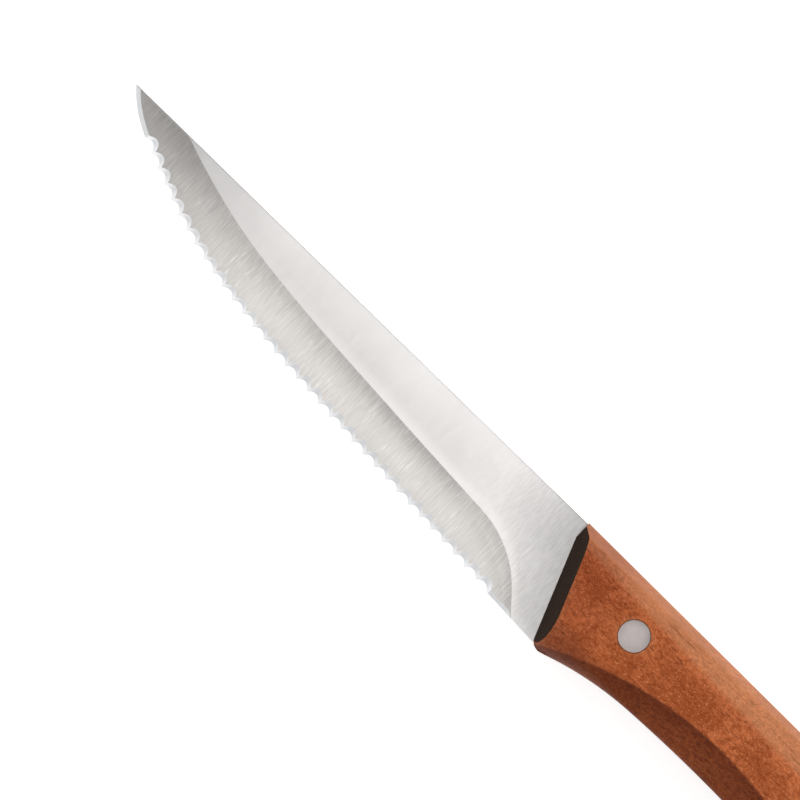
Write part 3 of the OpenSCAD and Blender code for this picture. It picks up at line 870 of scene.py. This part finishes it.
def ground_steel(groups):
    """The hollow grind: bright and dark strokes in groups, with painted shade that darkens it under its
    line and dulls it at the tip.
    """
    material, tree, shader, place, colour = steel(
        "Ground steel", groups, *GROUND_COLOURS, roughness=0.32, line_width=0.00018, line_depth=0.000005,
        contrast=0.75)
    gap = attribute(tree, "grind_gap")
    strokes = use(tree, groups["brush"], place, Line_width=0.00019).outputs["Bright strokes"]
    patches = use(tree, groups["clouds"], place, Size=0.005).outputs[0]
    strokes = maths(tree, "MULTIPLY", strokes, remap(tree, patches, 0.40, 0.58))
    colour = mix(tree, strokes, colour, STROKE)
    along = from_tip(tree, place)
    from_wood = from_handle(tree, place)
    # Painted shade under the grind line, which turns to painted light near the plunge
    painted_line_shade = maths(tree, "MULTIPLY", remap(tree, gap, -0.0030, -0.0001, 0.0, 1.0),
                       maths(tree, "MULTIPLY", remap(tree, along, 0.030, 0.080, -0.06, 0.21),
                             remap(tree, from_wood, 0.014, 0.026, -2.2, 1.0)))
    # Painted shade: dull at the tip, darker under the grind line, near the handle and towards the edge
    colour = shaded(tree, colour, [
        remap(tree, along, -0.006, 0.054, 0.43, 0.98, True),
        maths(tree, "SUBTRACT", 1.0, painted_line_shade),
        remap(tree, from_wood, 0.014, 0.026, 0.92, 1.0),
        remap(tree, gap, -0.0100, -0.0050, 0.86, 1.0, True)], 1.0)
    tree.links.new(colour, shader.inputs["Base Color"])
    return material


def tooth_steel(groups):
    """The teeth's bevels, freshly ground and even, with painted light that brightens them towards the tip.
    """
    material, tree, shader, place, colour = steel(
        "Tooth steel", groups, *TOOTH_COLOURS, roughness=0.40, line_width=0.00010, line_depth=0.000002,
        contrast=0.5)
    colour = shaded(tree, colour, [remap(tree, from_tip(tree, place), 0.015, 0.060, 1.0, 0.92)], 1.0)
    tree.links.new(colour, shader.inputs["Base Color"])
    return material


def wood_grain(tree, groups, place):
    """Stained, mottled wood with bands, clouds, specks and short pores: its colour, and the noises that
    the rest of the material uses too."""
    fleck = noise(tree, scaled(tree, place, (0.62, 1, 1)), 1700, 4, 0.65, 0.4)
    speck = noise(tree, scaled(tree, place, (0.7, 1, 1)), 3900, 3, 0.6, 0.2)
    band = noise(tree, scaled(tree, place, (0.10, 1, 0.6)), 330, 4, 0.6, 0.6)
    clouds = use(tree, groups["clouds"], place, Size=0.011).outputs[0]
    base = mix(tree, remap(tree, fleck, 0.38, 0.62), WOOD_DARK, WOOD)
    base = mix(tree, remap(tree, band, 0.35, 0.68, 0.0, 0.35), base, WOOD_BAND)
    base = mix(tree, remap(tree, clouds, 0.40, 0.64, 0.0, 0.7), base, WOOD_CLOUD)
    base = mix(tree, remap(tree, speck, 0.55, 0.70, 0.0, 0.6), base, WOOD_SPECK)
    pore = noise(tree, scaled(tree, place, (0.12, 1, 1)), 2600, 2, 0.5, 0.1)
    pores = remap(tree, pore, 0.65, 0.72)
    return mix(tree, maths(tree, "MULTIPLY", pores, 0.6), base, PORE), fleck, speck, pores


def on_upper_facet(tree, place, base):
    """The wood is paler on its upper facet, partly rubbed wood and partly a painted sheen, with dark
    streaks below the top edge.
    """
    line = TOP_FALL + TOP_FACET_SPREAD
    over_line = distance_from(tree, place, (FRONT_X, SPINE_Y + WOOD_PROUD - TOP_FACET_W, 0),
                              (sin(line), cos(line), 0))
    # Paler band: rubbed wood and painted sheen
    base = mix(tree, remap(tree, over_line, -0.0008, 0.0010, 0.0, 0.30, True), base, TOP_WOOD_AND_SHEEN)
    streak = noise(tree, scaled(tree, place, (0.06, 1, 1)), 2300, 2, 0.5, 0.2)
    streaks = maths(tree, "MULTIPLY", remap(tree, streak, 0.60, 0.68),
                    maths(tree, "MULTIPLY", remap(tree, over_line, 0.0008, 0.0014),
                          remap(tree, over_line, 0.0030, 0.0024, 0.0, 0.6)))
    return mix(tree, streaks, base, TOP_STREAK)


def on_lower_facet(tree, place, base):
    """The wood is painted darker on its lower facet as painted shade, most of all at the facet's line."""
    from_centre = vector_maths(tree, "DISTANCE", scaled(tree, place, (1, 1, 0)))
    from_centre.inputs[1].default_value = (FRONT_X + LOW_FACET_X, SPINE_Y + LOW_FACET_Y - LOW_FACET_R, 0)
    below = maths(tree, "SUBTRACT", LOW_FACET_R, from_centre.outputs["Value"])
    shade = maths(tree, "MULTIPLY", remap(tree, below, -0.00022, 0.00014),
                  remap(tree, below, 0.0005, 0.0065, 1.0, 0.62))
    return mix(tree, shade, base, mix(tree, 1.0, base, LOW_FACET_SHADE, "MULTIPLY"))


def wood(groups):
    """Stained, oiled wood. It is darker towards the front, where the end grain is nearly black: its own
    dark colour with painted shade.
    """
    material, tree, shader, place = new_material("Stained wood")
    base, fleck, speck, pores = wood_grain(tree, groups, place)
    base = on_lower_facet(tree, place, on_upper_facet(tree, place, base))
    # The wood darkens towards the front
    from_front = distance_from(tree, place, (FRONT_X, 0, 0), (1, 0, 0))
    base = mix(tree, remap(tree, from_front, 0.022, 0.006, 0.0, 0.8, True), base,
               mix(tree, 1.0, base, FRONT_DARKENING, "MULTIPLY"))
    # Convex edges are lightened: rubbed wood and a painted edge highlight
    rub_and_highlight = use(tree, groups["rub_and_highlight"], Low=0.51, High=0.60).outputs[0]
    base = mix(tree, maths(tree, "MULTIPLY", rub_and_highlight, 0.4), base, WOOD_RUB_AND_HIGHLIGHT)
    # End grain, dark in its own colour and in painted shade
    end = mix(tree, remap(tree, speck, 0.35, 0.65), END_GRAIN_AND_SHADE_DARK, END_GRAIN_AND_SHADE)
    on_end = remap(tree, attribute(tree, "on_front"), 0.0, 0.00012)
    tree.links.new(mix(tree, on_end, base, end), shader.inputs["Base Color"])
    matt = maths(tree, "MULTIPLY", on_end, 0.3)
    tree.links.new(maths(tree, "ADD", remap(tree, speck, 0.35, 0.65, 0.42, 0.56), matt),
                   shader.inputs["Roughness"])
    shader.inputs["Specular IOR Level"].default_value = 0.12
    height = maths(tree, "SUBTRACT", maths(tree, "MULTIPLY", fleck, 0.4), pores)
    bump(tree, shader, height, 0.00005)
    return material


def rivet_metal(groups):
    """Satin aluminium with fine lines, and rims lightened both as rubbed metal and as a painted highlight.
    """
    material, tree, shader, place = new_material("Satin aluminium")
    brush = use(tree, groups["brush"], place, Line_width=0.00015)
    clouds = use(tree, groups["clouds"], place, Size=0.003).outputs[0]
    tone = maths(tree, "ADD", maths(tree, "MULTIPLY", brush.outputs["Lines"], 0.35),
                 maths(tree, "MULTIPLY", clouds, 0.65))
    colour = mix(tree, remap(tree, tone, 0.35, 0.65), ALUMINIUM_DARK, ALUMINIUM)
    # Rims are lightened: rubbed metal and a painted highlight
    rub_and_highlight = use(tree, groups["rub_and_highlight"], Low=0.52, High=0.6).outputs[0]
    colour = mix(tree, maths(tree, "MULTIPLY", rub_and_highlight, 0.6), colour, ALUMINIUM_RUB_AND_HIGHLIGHT)
    tree.links.new(colour, shader.inputs["Base Color"])
    shader.inputs["Metallic"].default_value = 1.0
    tree.links.new(remap(tree, brush.outputs["Lines"], 0.3, 0.7, 0.38, 0.48), shader.inputs["Roughness"])
    bump(tree, shader, brush.outputs["Lines"], 0.000008)
    return material


# Stage

def floor():
    """A pale floor that shows white, but for the knife's shadow."""
    bm = bmesh.new()
    bmesh.ops.create_grid(bm, x_segments=1, y_segments=1, size=FLOOR_HALF)
    bmesh.ops.translate(bm, verts=bm.verts, vec=STAGE_CENTRE)
    material, tree, shader, _ = new_material("Pale floor")
    shader.inputs["Base Color"].default_value = (0.8, 0.8, 0.8, 1)
    shader.inputs["Roughness"].default_value = 0.9
    shader.inputs["Specular IOR Level"].default_value = 0.1
    path = tree.nodes.new("ShaderNodeLightPath")
    indirect = maths(tree, "MAXIMUM", path.outputs["Is Glossy Ray"], path.outputs["Is Transmission Ray"])
    seen = maths(tree, "MAXIMUM", path.outputs["Is Camera Ray"], indirect)
    shader.inputs["Emission Color"].default_value = (1, 1, 1, 1)
    tree.links.new(maths(tree, "MULTIPLY", seen, 0.7), shader.inputs["Emission Strength"])
    piece = new_object("floor", bm, [material])


def world():
    """A bright soft ceiling that fades sideways, so that steel tilted from it shows darker. Further
    down, metal mirrors a white room."""
    made = bpy.data.worlds.new("Studio")
    bpy.context.scene.world = made
    made.use_nodes = True
    tree = made.node_tree
    sky = tree.nodes["Background"]
    direction = tree.nodes.new("ShaderNodeTexCoord").outputs["Generated"]
    node = vector_maths(tree, "DOT_PRODUCT", direction)
    node.inputs[1].default_value = Vector(CEILING_NORMAL).normalized()
    angle = maths(tree, "ARCCOSINE", maths(tree, "MINIMUM", node.outputs["Value"], 1.0), 0)
    level = remap(tree, angle, radians(4), radians(22), 1.42, 0.25, True)
    in_metal = tree.nodes.new("ShaderNodeLightPath").outputs["Is Glossy Ray"]
    room = maths(tree, "MULTIPLY", remap(tree, angle, radians(38), radians(58), 0.0, 1.0, True), in_metal)
    brighter = maths(tree, "ADD", maths(tree, "MULTIPLY", in_metal, 0.13), 1.0)
    level = maths(tree, "MULTIPLY", level, brighter)
    tree.links.new(maths(tree, "MAXIMUM", level, room), sky.inputs["Strength"])
    sky.inputs["Color"].default_value = (1, 1, 1, 1)


def lamp(name, azimuth, elevation, distance, width, height, radiance, in_mirror):
    """An area lamp that faces the knife. Azimuth 0 is over +X and 90 over +Y, and radiance is its
    brightness. It lights either what scatters light or, with in_mirror, what mirrors it."""
    data = bpy.data.lights.new(name, "AREA")
    data.shape, data.size, data.size_y = "RECTANGLE", width, height
    data.energy = radiance * pi * width * height
    item = bpy.data.objects.new(name, data)
    a, e = radians(azimuth), radians(elevation)
    away = Vector((cos(a) * cos(e), sin(a) * cos(e), sin(e)))
    item.location = Vector(STAGE_CENTRE) + away * distance
    item.rotation_mode = "QUATERNION"
    item.rotation_quaternion = away.to_track_quat("Z", "Y")
    item.visible_glossy, item.visible_diffuse = in_mirror, not in_mirror
    bpy.context.scene.collection.objects.link(item)


def camera():
    """Straight above the knife, rolled as the photograph is."""
    data = bpy.data.cameras.new("camera")
    data.sensor_width, data.lens = SENSOR_W, CAMERA_LENS
    data.clip_start, data.clip_end = 0.1, 10
    item = bpy.data.objects.new("camera", data)
    item.location = CAMERA_PLACE
    item.rotation_euler = (0, 0, CAMERA_ROLL)
    bpy.context.scene.collection.objects.link(item)
    bpy.context.scene.camera = item


def main():
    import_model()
    groups = {"brush": brush_group(), "clouds": cloud_group(), "rub_and_highlight": rub_and_highlight_group()}
    metal = rivet_metal(groups)

    blade = blade_piece(flat_steel(groups), ground_steel(groups), tooth_steel(groups))
    pieces = [(blade, "blade", "blade_steel"), (handle_piece(wood(groups)), "handle", "handle_wood")]
    for end, x in zip(("front", "rear"), RIVET_XS):
        pin = rivet_pin(f"{end}_rivet_pin", x, metal)
        sleeve = rivet_sleeve(f"{end}_rivet_sleeve", x, metal)
        pieces += [(pin, f"rivet_pin_{end}", "rivet_metal"),
                   (sleeve, f"rivet_sleeve_{end}", "rivet_metal")]
    for piece, node, slot in pieces:
        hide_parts(node)
        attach(piece, "root")

    floor()
    world()
    for settings in LAMPS:
        lamp(*settings)
    camera()
    bpy.context.scene.view_settings.view_transform = "Standard"


main()
